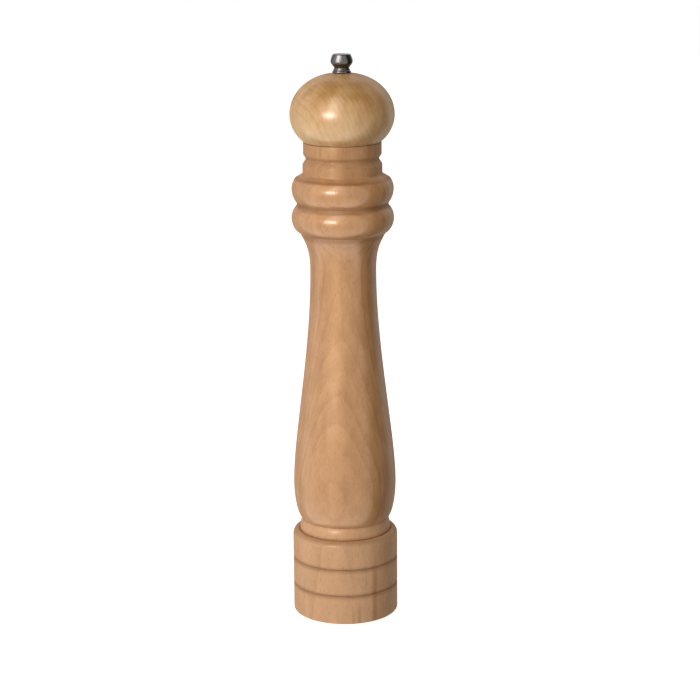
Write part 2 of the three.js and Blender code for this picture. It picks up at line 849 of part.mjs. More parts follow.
add('crossbar_screw_left', screw(-CROSSBAR_SCREW_REACH, CROSSBAR.bottom - GAP), PAINT.steel);
add('crossbar_screw_right', screw(CROSSBAR_SCREW_REACH, CROSSBAR.bottom - GAP), PAINT.steel);

export default group;
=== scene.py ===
import json
import math
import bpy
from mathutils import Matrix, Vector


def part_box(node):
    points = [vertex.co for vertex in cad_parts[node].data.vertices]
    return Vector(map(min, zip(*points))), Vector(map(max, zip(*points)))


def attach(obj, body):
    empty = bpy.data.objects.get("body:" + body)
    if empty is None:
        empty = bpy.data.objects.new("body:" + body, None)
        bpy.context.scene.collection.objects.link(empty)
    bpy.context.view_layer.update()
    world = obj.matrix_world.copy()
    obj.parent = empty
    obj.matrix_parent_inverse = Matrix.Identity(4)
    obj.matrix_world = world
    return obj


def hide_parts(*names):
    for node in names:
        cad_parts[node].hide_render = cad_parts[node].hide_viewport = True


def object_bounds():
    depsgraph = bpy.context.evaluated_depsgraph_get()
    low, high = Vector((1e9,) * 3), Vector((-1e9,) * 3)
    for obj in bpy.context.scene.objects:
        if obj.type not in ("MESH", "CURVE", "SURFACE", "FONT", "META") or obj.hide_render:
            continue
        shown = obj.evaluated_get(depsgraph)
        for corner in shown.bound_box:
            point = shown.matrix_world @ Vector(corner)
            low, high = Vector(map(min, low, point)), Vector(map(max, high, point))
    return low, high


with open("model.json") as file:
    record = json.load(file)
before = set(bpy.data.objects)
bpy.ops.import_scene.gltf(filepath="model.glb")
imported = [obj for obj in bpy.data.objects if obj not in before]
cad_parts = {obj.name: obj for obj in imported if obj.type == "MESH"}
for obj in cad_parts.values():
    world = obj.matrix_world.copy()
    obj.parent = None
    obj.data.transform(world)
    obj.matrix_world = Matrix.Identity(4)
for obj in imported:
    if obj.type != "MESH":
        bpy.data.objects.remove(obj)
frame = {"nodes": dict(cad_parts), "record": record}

from types import SimpleNamespace as Sizes

import bmesh
import bpy
from mathutils import Matrix, Quaternion, Vector

# The looks of the pepper mill: finer meshes and procedural materials over its CAD frame.

CAD_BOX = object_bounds()
SLOTS = {part["node"]: part["material_slot"] for part in frame["record"]["subparts"]}
BODY_OF = {node: body for body, nodes in frame["record"]["behaviour"]["bodies"].items()
           for node in nodes}

# ---------------------------------------- sizes, in millimetres
# Heights are above the surface the mill stands on and radii are from its axis, as in the
# CAD frame. Each outline is fitted to the box of the node it replaces.

MM = 0.001

BASE = Sizes(radius=28.6, top=46.5, foot_edge=1.0, edge_across=2.8, edge_down=3.6,
             grooves=(15.7, 30.6), groove_depth=0.9, groove_half=0.8)
BEAD_GROOVE = Vector((24.2, 45.9))
BEAD = Sizes(core=22.3, bulge=2.4, height=46.7, above=6.5, end=68)
BELLY = Sizes(radius=27.8, height=73.4, below=9.3, above=25)
WAIST = Sizes(radius=17.6, height=190.8, below=44, above=11)
BEAD_HANDLE = Vector((2.9, 1.5))
CREASE_HANDLE = Vector((-2.9, -5.5))
LOWER_RING = Sizes(core=20.6, bulge=6.55, height=218.9, below=8.4, above=7.9, start=-70, end=51)
UPPER_RING = Sizes(core=20.2, bulge=6.8, height=234.5, below=9.3, above=7.9, start=-48, end=44)
HOLLOW_UNDER_RINGS = 209.8  # height of the shade where the waist meets the rings
RING_GROOVE = Vector((24.1, 226.3))
UPPER_CREASE = Vector((24.6, 240.2))
NECK = Sizes(bead_radius=21.05, bead_bottom=242.4, bead_top=247.4, groove_radius=19.4,
             groove_bottom=249.8, groove_top=250.8, band_radius=20.7, band_bottom=252.6,
             top=258.9)
RECESS = Sizes(radius=24.4, top=4.7)
STATOR_SEAT = Sizes(radius=19.5, top=17.0)
CHAMBER_RADIUS = 12.5
BALL = Sizes(height=273.4, radius=27.6, upper_core=2.8, upper_rise=21.5, lower_core=7.9,
             lower_drop=18.35, upper_end=86, foot_lip=0.1)
SPIGOT = Sizes(radius=12.1, bottom=246.2, chamfer=0.8, seat=259.2)
HEAD_BORE = Sizes(radius=4.9, step=286.5, bushing_radius=4.35)
KNOB = Sizes(bottom=296.4, top=304.8, foot_radius=4.4, foot_height=0.4, neck_radius=3.95,
             neck_height=297.4, rim_radius=5.85, rim_height=300.9, crown_radius=4.75,
             crown_height=304.4, crown_edge=0.4, crown_rise=0.1, bore_radius=3.3,
             bore_top=302.6)
KNOB_HANDLES = Sizes(neck=Vector((0.2, 1.2)), under_rim=Vector((0, -1.5)),
                     over_rim=Vector((0, 1.2)), crown=Vector((0.5, -1.2)))
SHAFT = Sizes(side=6.0, corner=0.7, pivot_radius=2.9, end_chamfer=0.4, groove_radius=2.2,
              groove_bottom=6.05, groove_top=6.95, square_bottom=7.85, square_top=284.0,
              thread_radius=1.95, thread_core=1.6, pitch=0.7, thread_bottom=286.7,
              thread_top=301.0, point_inset=0.3)
ROTOR = Sizes(shoulder=11.0, shoulder_radius=11.4, middle_radius=9.3, top_radius=6.4,
              teeth=12, fine=0.9, coarse=1.7, top_depth=0.85, twists=(0, 9, 21.6, 36))
STATOR = Sizes(throat=9.5, bottom_radius=14.6, throat_radius=12.8, top_radius=12.2,
               teeth=24, depth=0.8, top_depth=0.4, twists=(0, -6, -12), chamfer=0.3)
TOOTH_BACK = 0.7  # share of a tooth's pitch that its long back takes
SQUARE_HOLE = Sizes(side=6.6, corner=0.4)
PIVOT_HOLE_RADIUS = 4.2
CLIP_MOUTH_DEG = 40
SCREW_HOLE_RADIUS = 1.45
SCREW = Sizes(head_radius=2.0, head_height=1.3, shank=1.1, core=0.85, thread_start=2.2,
              pitch=1.0, turns=3, point=1.5, slot_length=2.6, slot_width=0.45, slot_depth=0.7)
SCREW_DOME = ((0.45, 0.06), (0.8, 0.3), (1.0, 0.65))  # share of its radius, drop
TOP_FLANGE = Sizes(bore=2.5, stem=4.05, height=0.9)
GUIDE_FLANGE = Sizes(bore=4.6, stem=5.2, height=0.9)
PIVOT_FLANGE = Sizes(bore=3.2, stem=3.9, height=0.8)
GAP = 0.3
CUT_OVERLAP = 1.0
EDGE = Sizes(body=0.35, head=0.3, turned=0.15, flange=0.2, plate=0.15, strip=0.25, clip=0.1,
             bridge=0.2, spring=0.05)

# ---------------------------------------- fineness of the meshes

SIDES = Sizes(wood=160, metal=72, screw=40, shaft=48, hole=24, plate=64, cutter=32,
              rotor_tooth=16, stator_tooth=8)
STEPS = Sizes(foot=6, base_edge=14, bead=12, under_belly=16, over_belly=34, over_waist=14,
              under_ring=12, over_ring=10, under_ball=16, over_ball=30, knob=12, thread=8,
              tooth=6, corner=5, strip_end=8, clip_outside=40, clip_inside=30)
SHARP_DEG = 40
LEAST_EASED_DEG = 18
LONGEST_EASING = 0.45


# ---------------------------------------- outlines

def at(radius, height):
    """A point of an outline: distance from the axis, height."""
    return Vector((radius, height))


def arc(centre, radial, axial, start, end, steps):
    """Points on an elliptical arc, with its angles in degrees from outwards."""
    angles = [math.radians(start + (end - start) * i / steps) for i in range(steps + 1)]
    return [centre + at(radial * math.cos(a), axial * math.sin(a)) for a in angles]


def sweep(start, start_handle, end_handle, end, steps):
    """Points on a cubic curve between two ends, without its first point."""
    points = []
    for i in range(1, steps + 1):
        t = i / steps
        u = 1 - t
        points.append(start * u ** 3 + start_handle * (3 * u * u * t)
                      + end_handle * (3 * u * t * t) + end * t ** 3)
    return points


def eased(outline, size, closed=True):
    """The outline with each sharp corner replaced by a small curve. The curve takes at
    most a fixed share of the sides it joins."""
    points = []
    count = len(outline)
    for i, corner in enumerate(outline):
        before, after = outline[i - 1], outline[(i + 1) % count]
        is_end = not closed and i in (0, count - 1)
        arriving, leaving = corner - before, after - corner
        if is_end or arriving.length < 1e-6 or leaving.length < 1e-6:
            points.append(corner)
            continue
        if math.degrees(abs(arriving.angle_signed(leaving))) < LEAST_EASED_DEG:
            points.append(corner)
            continue
        start = corner - arriving.normalized() * min(size, arriving.length * LONGEST_EASING)
        end = corner + leaving.normalized() * min(size, leaving.length * LONGEST_EASING)
        for t in (0, 0.25, 0.5, 0.75, 1):
            points.append(start.lerp(corner, t).lerp(corner.lerp(end, t), t))
    return points


def fitted(outline, node):
    """The outline stretched to the height and width of a CAD node's box."""
    low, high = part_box(node)
    bottom = min(p.y for p in outline)
    height = max(p.y for p in outline) - bottom
    width = max(p.x for p in outline)
    across = high.x / MM / width
    along = (high.z - low.z) / MM / height
    return [at(p.x * across, low.z / MM + (p.y - bottom) * along) for p in outline]


def span(node):
    """Bottom, top and outer radius of a round CAD node, in millimetres."""
    low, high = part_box(node)
    return low.z / MM, high.z / MM, (high.x - low.x) / 2 / MM


# ---------------------------------------- meshes

def circle(radius, height, sides, angle=0.0):
    """Points round the axis at one height. The radius may be a function of the angle."""
    points = []
    for i in range(sides):
        a = 2 * math.pi * i / sides
        r = radius(a) if callable(radius) else radius
        points.append((r * math.cos(a + angle), r * math.sin(a + angle), height))
    return points


def placed(name, data):
    """A new object in the scene that carries this data."""
    thing = bpy.data.objects.new(name, data)
    bpy.context.scene.collection.objects.link(thing)
    return thing


def finished(name, mesh, node):
    """Puts a mesh in the scene in place of a CAD node, with its body and material."""
    mesh.materials.append(MATERIALS[SLOTS[node]])
    mesh.polygons.foreach_set("use_smooth", [True] * len(mesh.polygons))
    mesh.set_sharp_from_angle(angle=math.radians(SHARP_DEG))
    piece = placed(name, mesh)
    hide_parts(node)
    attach(piece, BODY_OF[node])
    return piece


def skin(name, levels, ring):
    """Mesh over levels of points. A ring's last level joins its first; a rod gets ends."""
    sides = len(levels[0])
    shell = bmesh.new()
    rows = [[shell.verts.new(Vector(p) * MM) for p in level] for level in levels]
    pairs = list(zip(rows, rows[1:]))
    if ring:
        pairs.append((rows[-1], rows[0]))
    for lower, upper in pairs:
        for i in range(sides):
            j = (i + 1) % sides
            shell.faces.new((lower[i], lower[j], upper[j], upper[i]))
    if not ring:
        shell.faces.new(list(reversed(rows[0])))
        shell.faces.new(rows[-1])
    bmesh.ops.remove_doubles(shell, verts=shell.verts, dist=1e-8)
    bmesh.ops.recalc_face_normals(shell, faces=shell.faces)
    mesh = bpy.data.meshes.new(name)
    shell.to_mesh(mesh)
    shell.free()
    return mesh


def turned(name, outline, sides):
    """Mesh of a closed outline turned about the axis."""
    return skin(name, [circle(p.x, p.y, sides) for p in outline], ring=True)


def rounded_square(side, corner):
    """Loop of a square hole about the axis, with rounded corners."""
    half = side / 2 - corner
    loop = []
    for quarter in range(4):
        a = math.radians(45 + 90 * quarter)
        centre = Vector((math.copysign(half, math.cos(a)), math.copysign(half, math.sin(a))))
        loop += arc(centre, corner, corner, 90 * quarter, 90 * quarter + 90, STEPS.corner)
    return loop


def ring_loop(radius, x=0.0, sides=SIDES.plate):
    """A round loop for a plate's outline or a hole in it."""
    return arc(Vector((x, 0)), radius, radius, 0, 360 - 360 / sides, sides - 1)


def evaluated_mesh(thing):
    """The mesh of an object with its modifiers or curve settings applied."""
    graph = bpy.context.evaluated_depsgraph_get()
    return bpy.data.meshes.new_from_object(thing.evaluated_get(graph))


def plate(name, loops, bottom, top, edge=EDGE.plate):
    """Flat plate between two heights, with holes and softly rounded edges."""
    outline = bpy.data.curves.new(name, "CURVE")
    outline.dimensions = "2D"
    outline.fill_mode = "BOTH"
    outline.extrude = ((top - bottom) / 2 - edge) * MM
    outline.bevel_depth = edge * MM
    outline.bevel_resolution = 2
    outline.offset = -edge * MM
    for loop in loops:
        spline = outline.splines.new("POLY")
        spline.points.add(len(loop) - 1)
        for point, corner in zip(spline.points, loop):
            point.co = (corner.x * MM, corner.y * MM, 0, 1)
        spline.use_cyclic_u = True
    stand_in = placed(name, outline)
    mesh = evaluated_mesh(stand_in)
    bpy.data.objects.remove(stand_in)
    shell = bmesh.new()
    shell.from_mesh(mesh)
    bmesh.ops.translate(shell, verts=shell.verts, vec=(0, 0, (bottom + top) / 2 * MM))
    bmesh.ops.remove_doubles(shell, verts=shell.verts, dist=1e-7)
    shell.to_mesh(mesh)
    shell.free()
    return mesh


def pierced(piece, cutters):
    """Cuts the cutter meshes out of a piece's mesh."""
    for mesh in cutters:
        tool = placed("cutter", mesh)
        cut = piece.modifiers.new("cut", "BOOLEAN")
        cut.operation = "DIFFERENCE"
        cut.solver = "EXACT"
        cut.object = tool
        result = evaluated_mesh(piece)
        piece.modifiers.clear()
        piece.data = result
        bpy.data.objects.remove(tool)
    piece.data.set_sharp_from_angle(angle=math.radians(SHARP_DEG))


def moved(mesh, x):
    """The mesh shifted sideways by x millimetres."""
    mesh.transform(Matrix.Translation((x * MM, 0, 0)))
    return mesh


def rod(radius, bottom, top, x=0.0):
    """Plain round rod, for cutting a hole."""
    ends = [circle(radius, bottom, SIDES.cutter), circle(radius, top, SIDES.cutter)]
    return moved(skin("rod", ends, ring=False), x)


def bar(length, width, bottom, top, x=0.0):
    """Plain straight bar, for cutting a slot."""
    corners = [(-length, -width), (length, -width), (length, width), (-length, width)]
    levels = [[(a / 2, b / 2, z) for a, b in corners] for z in (bottom, top)]
    return moved(skin("bar", levels, ring=False), x)


# ---------------------------------------- node notation

class Graph:
    """A node tree in short notation: apart from add and fill, which return the node, each
    call returns an output."""

    def __init__(self, owner):
        """Starts an empty tree on a material or a world."""
        owner.use_nodes = True
        self.owner = owner
        self.tree = owner.node_tree
        self.tree.nodes.clear()

    def add(self, kind, **settings):
        """A new shader node with these settings."""
        node = self.tree.nodes.new("ShaderNode" + kind)
        for name, value in settings.items():
            setattr(node, name, value)
        return node

    def feed(self, socket, value):
        """Links an output to a socket, or sets the socket to a plain value."""
        if isinstance(value, bpy.types.NodeSocket):
            self.tree.links.new(value, socket)
        else:
            socket.default_value = value

    def fill(self, node, values):
        """Feeds a node's sockets in their order."""
        for socket, value in zip(node.inputs, values):
            self.feed(socket, value)
        return node

    def math(self, operation, *values, clamp=False):
        return self.fill(self.add("Math", operation=operation, use_clamp=clamp), values).outputs[0]

    def complement(self, value):
        """One minus the value."""
        return self.math("SUBTRACT", 1.0, value)

    def vector(self, operation, *values):
        node = self.fill(self.add("VectorMath", operation=operation), values)
        gives_number = operation in ("LENGTH", "DOT_PRODUCT")
        return node.outputs["Value" if gives_number else "Vector"]

    def parts(self, vector):
        """The x, y and z of a vector."""
        return self.fill(self.add("SeparateXYZ"), [vector]).outputs

    def joined(self, *values):
        """A vector of up to three values."""
        return self.fill(self.add("CombineXYZ"), values).outputs[0]

    def noise(self, point, scale, detail=2.0, rough=0.5, output="Fac"):
        """Noise with its own scale along each axis, per millimetre."""
        node = self.add("TexNoise")
        self.feed(node.inputs["Vector"], self.vector("MULTIPLY", point, scale))
        node.inputs["Scale"].default_value = 1
        node.inputs["Detail"].default_value = detail
        node.inputs["Roughness"].default_value = rough
        return node.outputs[output]

    def patches(self, point, look):
        """Noise with its contrast raised: 0 up to one level and 1 from another."""
        level = self.noise(point, look.scale, look.detail, look.rough)
        return self.smooth(level, *look.between)

    def ramp(self, value, *stops):
        """Piecewise value: stops are (position, grey level)."""
        node = self.add("ValToRGB")
        elements = node.color_ramp.elements
        while len(elements) < len(stops):
            elements.new(0.5)
        for element, (position, level) in zip(elements, stops):
            element.position = position
            element.color = (level, level, level, 1)
        self.feed(node.inputs[0], value)
        return node.outputs["Color"]

    def smooth(self, value, low, high):
        """0 below low and 1 above high, with a smooth step between."""
        node = self.add("MapRange", interpolation_type="SMOOTHSTEP")
        return self.fill(node, (value, low, high, 0.0, 1.0)).outputs["Result"]

    def graded(self, value, low, high, least, most):
        """Least up to low, most from high, and a straight line between."""
        return self.fill(self.add("MapRange"), (value, low, high, least, most)).outputs["Result"]

    def mix(self, factor, first, second):
        node = self.add("Mix", data_type="RGBA")
        for socket, value in zip((node.inputs[0], node.inputs[6], node.inputs[7]),
                                 (factor, first, second)):
            self.feed(socket, value)
        return node.outputs[2]

    def bump(self, height, strength, distance):
        node = self.add("Bump")
        node.inputs["Strength"].default_value = strength
        node.inputs["Distance"].default_value = distance * MM
        self.feed(node.inputs["Height"], height)
        return node.outputs["Normal"]

    def position(self):
        """Place in the part's own frame, in millimetres."""
        where = self.add("TexCoord").outputs["Object"]
        return self.vector("MULTIPLY", where, (1 / MM, 1 / MM, 1 / MM))

    def finish(self, **inputs):
        """Ends a material's tree in a principled shader with these inputs."""
        shader = self.add("BsdfPrincipled")
        for name, value in inputs.items():
            self.feed(shader.inputs[name.replace("_", " ")], value)
        output = self.add("OutputMaterial")
        self.tree.links.new(shader.outputs[0], output.inputs["Surface"])
        return self.owner


def rgb(red, green, blue):
    """An opaque colour."""
    return (red, green, blue, 1.0)


def clouds(scale, between=(0.3, 0.7), detail=2.0, rough=0.5):
    """Settings for patches of noise, with the levels between which they fade."""
    return Sizes(scale=scale, between=between, detail=detail, rough=rough)


# ---------------------------------------- wood

YEARLY = clouds((1.0, 1.0, 1.0))
FIBRE = clouds((1.6, 1.6, 0.045), detail=4.0, rough=0.65)
MOTTLE = clouds((0.16, 0.16, 0.07), detail=3.0)
FLECKS = clouds((2.0, 2.0, 0.42), between=(0.56, 0.7), rough=0.6)

# Darkness across one growth ring, as (place in the ring, level), and how fast the rings
# change from one to the next.
RING_PROFILE = ((0.0, 0.1), (0.5, 0.3), (0.86, 0.95), (0.94, 1.0), (1.0, 0.1))
RING_VARIATION = 0.37

# Distances before the axis between which streaks appear, and the share of a streak's
# reach that has its full strength.
STREAK_FRONT = (2.0, 10.0)
STREAK_CORE = 0.4

# Dark colour of the wood's flecks, also used for the painted shade in the creases.
FLECK_AND_SHADE_COLOUR = rgb(0.12, 0.048, 0.018)
STREAK_COLOUR = rgb(0.24, 0.055, 0.014)
COAT = Sizes(weight=0.95, rough=0.24, ior=1.6)
WOOD_SHINE = Sizes(rough=0.34, in_fibre=0.1, in_crease=0.3, unpolished=0.16, unpolished_coat=0.65)
GLANCE = Sizes(between=(0.45, 0.85), rough=0.22, coat=0.9)  # surfaces seen edge-on
WOOD_RELIEF = Sizes(strength=0.25, depth=0.04)


def near(graph, value, centre, core, reach):
    """1 within a core distance of a place, falling smoothly to 0 at its reach."""
    away = graph.math("ABSOLUTE", graph.math("SUBTRACT", value, centre))
    return graph.complement(graph.smooth(away, core, reach))


def streak_mask(graph, place, streak):
    """A dark streak in the grain, on the front of the mill."""
    x, y, z = graph.parts(place)
    beside = near(graph, x, streak.x, 0.0, streak.half)
    along = near(graph, z, streak.z, streak.reach * STREAK_CORE, streak.reach)
    front = graph.smooth(graph.math("MULTIPLY", y, -1.0), *STREAK_FRONT)
    return graph.math("MULTIPLY", graph.math("MULTIPLY", beside, along), front)


def growth_rings(graph, place, look):
    """Growth rings about a leaning, wandering pith. Some years are darker than others."""
    z = graph.parts(place)[2]
    wander = graph.vector("SUBTRACT", graph.noise(place, look.wander, 3.0, output="Color"),
                          (0.5, 0.5, 0.5))
    from_pith = graph.vector("MULTIPLY", graph.vector("SUBTRACT", place, look.pith),
                             (1, 1, 0.0))
    tilt = graph.joined(*[graph.math("MULTIPLY", z, slope) for slope in look.lean])
    bent = graph.vector("ADD", graph.vector("ADD", from_pith, tilt),
                        graph.vector("MULTIPLY", wander, (look.bend, look.bend, 0.0)))
    count = graph.math("DIVIDE", graph.vector("LENGTH", bent), look.ring)
    late = graph.ramp(graph.math("FRACT", count), *RING_PROFILE)
    yearly = graph.patches(graph.joined(graph.math("MULTIPLY", count, RING_VARIATION)), YEARLY)
    return graph.math("MULTIPLY", late, yearly)


def wood_tone(graph, place, fibre, look):
    """How dark the wood is from its rings, bands, fibres, mottle and upward faces. The darkening
    of upward faces is partly end grain and partly painted shade.
    """
    normal = graph.add("TexCoord").outputs["Normal"]
    layers = (
        (graph.patches(place, clouds(look.bands)), look.weights.bands),
        (fibre, look.weights.fibre),
        (graph.patches(place, MOTTLE), look.weights.mottle),
        # Faces that point up are darker: partly end grain, partly painted shade where the low
        # lights don't reach.
        (graph.smooth(graph.parts(normal)[2], *look.upward), look.weights.upward),
    )
    tone = graph.math("MULTIPLY", growth_rings(graph, place, look), look.weights.rings)
    for value, weight in layers:
        tone = graph.math("MULTIPLY_ADD", value, weight, tone)
    return tone


def shade_in_creases(graph, place, look):
    """How much painted shade each crease holds; in the base's grooves it also stands for burnt-in
    lines.
    """
    z = graph.parts(place)[2]
    crease_shade = 0.0
    for line in look.creases:
        mask = near(graph, z, line.z, 0.0, line.half)
        crease_shade = graph.math("MULTIPLY_ADD", mask, line.strength, crease_shade)
    return crease_shade


def wood_roughness(graph, fibre, crease_shade, unpolished, glance):
    """The wood shines less in fibres and creases, where it is unpolished, and edge-on."""
    rough = graph.math("MULTIPLY_ADD", fibre, WOOD_SHINE.in_fibre, WOOD_SHINE.rough)
    rough = graph.math("MULTIPLY_ADD", crease_shade, WOOD_SHINE.in_crease, rough)
    rough = graph.math("MULTIPLY_ADD", unpolished, WOOD_SHINE.unpolished, rough)
    return graph.math("MULTIPLY_ADD", glance, GLANCE.rough, rough)


def lacquer(graph, crease_shade, unpolished, glance):
    """Weight of the lacquer: thin where unpolished, in creases and seen edge-on."""
    polish = graph.math("MULTIPLY_ADD", unpolished, -WOOD_SHINE.unpolished_coat, 1.0)
    polish = graph.math("MULTIPLY", polish, graph.math("MULTIPLY_ADD", glance, -GLANCE.coat, 1.0))
    polish = graph.math("MULTIPLY", polish, COAT.weight)
    return graph.math("MULTIPLY", graph.math("SUBTRACT", 1.0, crease_shade, clamp=True), polish)


def wood(name, look):
    """Lacquered hardwood with rings, fibres, flecks, streaks and painted shade in its creases."""
    graph = Graph(bpy.data.materials.new(name))
    place = graph.position()
    z = graph.parts(place)[2]
    fibre = graph.patches(place, FIBRE)
    flecks = graph.patches(place, FLECKS)
    crease_shade = shade_in_creases(graph, place, look)
    colour = graph.mix(wood_tone(graph, place, fibre, look), look.light, look.dark)
    unpolished = 0.0
    # Zones with less lacquer. Each also tints the wood: the base paler, and the neck darker and
    # greyer, which is painted shade under the ball.
    for zone in look.unpolished:
        mask = graph.smooth(z, *zone.between)
        colour = graph.mix(graph.math("MULTIPLY", mask, zone.share), colour, zone.colour)
        unpolished = graph.math("MAXIMUM", mask, unpolished)
    colour = graph.mix(graph.math("MULTIPLY", flecks, look.fleck), colour, FLECK_AND_SHADE_COLOUR)
    # The creases are darkened with painted shade.
    colour = graph.mix(crease_shade, colour, FLECK_AND_SHADE_COLOUR)
    for streak in look.streaks:
        depth = graph.math("MULTIPLY", streak_mask(graph, place, streak), streak.strength)
        colour = graph.mix(depth, colour, STREAK_COLOUR)
    glance = graph.smooth(graph.add("LayerWeight").outputs["Facing"], *GLANCE.between)
    return graph.finish(
        Base_Color=colour,
        Roughness=wood_roughness(graph, fibre, crease_shade, unpolished, glance),
        Specular_IOR_Level=1.0,
        Specular_Tint=look.sheen,
        Coat_Weight=lacquer(graph, crease_shade, unpolished, glance),
        Coat_Roughness=COAT.rough,
        Coat_IOR=COAT.ior,
        Normal=graph.bump(graph.math("MULTIPLY_ADD", flecks, -1.0, fibre),
                          WOOD_RELIEF.strength, WOOD_RELIEF.depth),
    )


def crease(z, half, strength):
    """Settings for the painted shade round one height, with its half width."""
    return Sizes(z=z, half=half, strength=strength)


def body_look():
    """Brown wood with a bold figure, three dark streaks at its foot and painted shade in its
    grooves.
    The base and the neck carry less lacquer than the rest; the neck's darker, greyer colour is
    painted shade under the ball."""
    neck_groove = (NECK.groove_bottom + NECK.groove_top) / 2
    return Sizes(
        light=rgb(0.745, 0.387, 0.166),
        dark=rgb(0.47, 0.205, 0.064),
        sheen=rgb(1.0, 0.58, 0.29),
        pith=(21.0, 74.0, 0.0),
        lean=(0.12, 0.02),
        ring=2.2,
        bend=8.0,
        wander=(0.02, 0.02, 0.007),
        bands=(0.11, 0.11, 0.006),
        weights=Sizes(rings=0.52, bands=0.28, fibre=0.15, mottle=0.35, upward=0.0),
        upward=(0.3, 1.0),
        fleck=0.27,
        unpolished=[
            Sizes(between=(58.0, 51.0), share=0.38, colour=rgb(0.8, 0.52, 0.33)),
            # Neck: darker and greyer, painted shade under the ball's overhang.
            Sizes(between=(239.0, 243.0), share=0.28, colour=rgb(0.3, 0.2, 0.13)),
        ],
        # Darker lines round the grooves and creases are painted shade; in the base's grooves they
        # are partly burnt-in lines.
        creases=[crease(z, 2.6, 0.44) for z in BASE.grooves] + [
            crease(BEAD_GROOVE.y, 2.6, 0.32),
            crease(HOLLOW_UNDER_RINGS, 2.8, 0.38),
            crease(RING_GROOVE.y, 2.8, 0.6),
            crease(UPPER_CREASE.y, 1.3, 0.4),
            crease(neck_groove, 2.4, 0.2),
        ],
        streaks=[
            Sizes(x=15.9, z=12.0, half=2.3, reach=26.0, strength=0.42),
            Sizes(x=7.6, z=1.0, half=1.7, reach=13.0, strength=0.34),
            Sizes(x=4.4, z=1.0, half=1.4, reach=10.0, strength=0.3),
        ],
    )


def head_look():
    """Paler, yellower wood that is darkest on top of the ball, partly from end grain and partly
    from painted shade.
    """
    return Sizes(
        light=rgb(0.9, 0.6, 0.293),
        dark=rgb(0.54, 0.255, 0.07),
        sheen=rgb(1.0, 0.62, 0.33),
        pith=(34.0, 30.0, 0.0),
        lean=(0.5, 0.25),
        ring=2.9,
        bend=12.0,
        wander=(0.03, 0.03, 0.03),
        bands=(0.07, 0.07, 0.03),
        weights=Sizes(rings=0.28, bands=0.2, fibre=0.15, mottle=0.34, upward=0.44),
        upward=(-0.45, 0.8),
        fleck=0.14,
        unpolished=[],
        # The dark line where the ball sits on the neck is painted shade.
        creases=[crease(SPIGOT.seat, 2.2, 0.2)],
        streaks=[],
    )


# ---------------------------------------- metals

HAZE = clouds((0.35, 0.35, 0.35), between=(0.35, 0.7), detail=3.0)
BLOOM = clouds((0.25, 0.25, 0.25), between=(0.45, 0.7))
HAZE_SHARE = 0.6
HAZE_DARKENING = 0.8
BLOOM_SHARE = 0.4
LINE_STRENGTH = 0.3
GRIT = Sizes(scale=(2.4, 2.4, 2.4), rough=0.3, uneven=0.25, strength=0.4, depth=0.05)


def metal(name, colour, rough, lines, marks=0.08, relief=0.02):
    """Bare metal with fine lathe or drawing lines, and a little unevenness in its shine."""
    graph = Graph(bpy.data.materials.new(name))
    place = graph.position()
    grain = graph.noise(place, lines, 3.0, 0.6)
    haze = graph.patches(place, HAZE)
    uneven = graph.math("MULTIPLY_ADD", haze, marks, graph.math("MULTIPLY", grain, marks))
    dull = rgb(*[HAZE_DARKENING * part for part in colour[:3]])
    return graph.finish(
        Base_Color=graph.mix(graph.math("MULTIPLY", haze, HAZE_SHARE), colour, dull),
        Metallic=1.0,
        Roughness=graph.math("ADD", uneven, rough),
        Normal=graph.bump(grain, LINE_STRENGTH, relief),
    )


def nickel():
    return metal("nickel", rgb(0.15, 0.139, 0.133), rough=0.2, lines=(0.3, 0.3, 1.5),
                 marks=0.06, relief=0.005)


def brass():
    return metal("brass", rgb(0.66, 0.5, 0.26), rough=0.25, lines=(0.5, 0.5, 5.0))


def zinc_plate():
    return metal("zinc_plate", rgb(0.56, 0.57, 0.58), rough=0.3, lines=(0.6, 4.0, 4.0), marks=0.12)


def screw_steel():
    return metal("screw_steel", rgb(0.5, 0.5, 0.5), rough=0.28, lines=(2.0, 2.0, 2.0))


def shaft_aluminium():
    return metal("shaft_aluminium", rgb(0.7, 0.71, 0.72), rough=0.3, lines=(4.0, 4.0, 0.1))


def spring_steel():
    return metal("spring_steel", rgb(0.42, 0.42, 0.43), rough=0.28, lines=(1.5, 1.5, 1.5))


def burr_steel():
    """Hardened, dark steel with a fine grit and a slight brown bloom."""
    graph = Graph(bpy.data.materials.new("burr_steel"))
    place = graph.position()
    grit = graph.noise(place, GRIT.scale, 4.0, 0.6)
    bloom = graph.math("MULTIPLY", graph.patches(place, BLOOM), BLOOM_SHARE)
    steel = graph.mix(grit, rgb(0.14, 0.14, 0.15), rgb(0.3, 0.3, 0.31))
    return graph.finish(
        Base_Color=graph.mix(bloom, steel, rgb(0.2, 0.15, 0.11)),
        Metallic=1.0,
        Roughness=graph.math("MULTIPLY_ADD", grit, GRIT.uneven, GRIT.rough),
        Normal=graph.bump(grit, GRIT.strength, GRIT.depth),
    )


MATERIALS = {
    "body_wood": wood("body_wood", body_look()),
    "head_wood": wood("head_wood", head_look()),
    "nickel": nickel(),
    "brass": brass(),
    "zinc_plate": zinc_plate(),
    "screw_steel": screw_steel(),
    "shaft_aluminium": shaft_aluminium(),
    "spring_steel": spring_steel(),
    "burr_steel": burr_steel(),
}


# ---------------------------------------- wooden pieces

def bulge(size):
    """Outline of one of the two rings, listed upwards."""
    centre = at(size.core, size.height)
    lower = arc(centre, size.bulge, size.below, size.start, 0, STEPS.under_ring)
    return lower + arc(centre, size.bulge, size.above, 0, size.end, STEPS.over_ring)[1:]


def base_outline():
    """Foot, V-grooves and rounded top edge of the base, listed upwards."""
    outline = arc(at(BASE.radius - BASE.foot_edge, BASE.foot_edge), BASE.foot_edge,
                  BASE.foot_edge, -90, 0, STEPS.foot)
    for height in BASE.grooves:
        outline += [
            at(BASE.radius, height - BASE.groove_half),
            at(BASE.radius - BASE.groove_depth, height),
            at(BASE.radius, height + BASE.groove_half),
        ]
    return outline + arc(at(BASE.radius - BASE.edge_across, BASE.top - BASE.edge_down),
                         BASE.edge_across, BASE.edge_down, 0, 90, STEPS.base_edge)


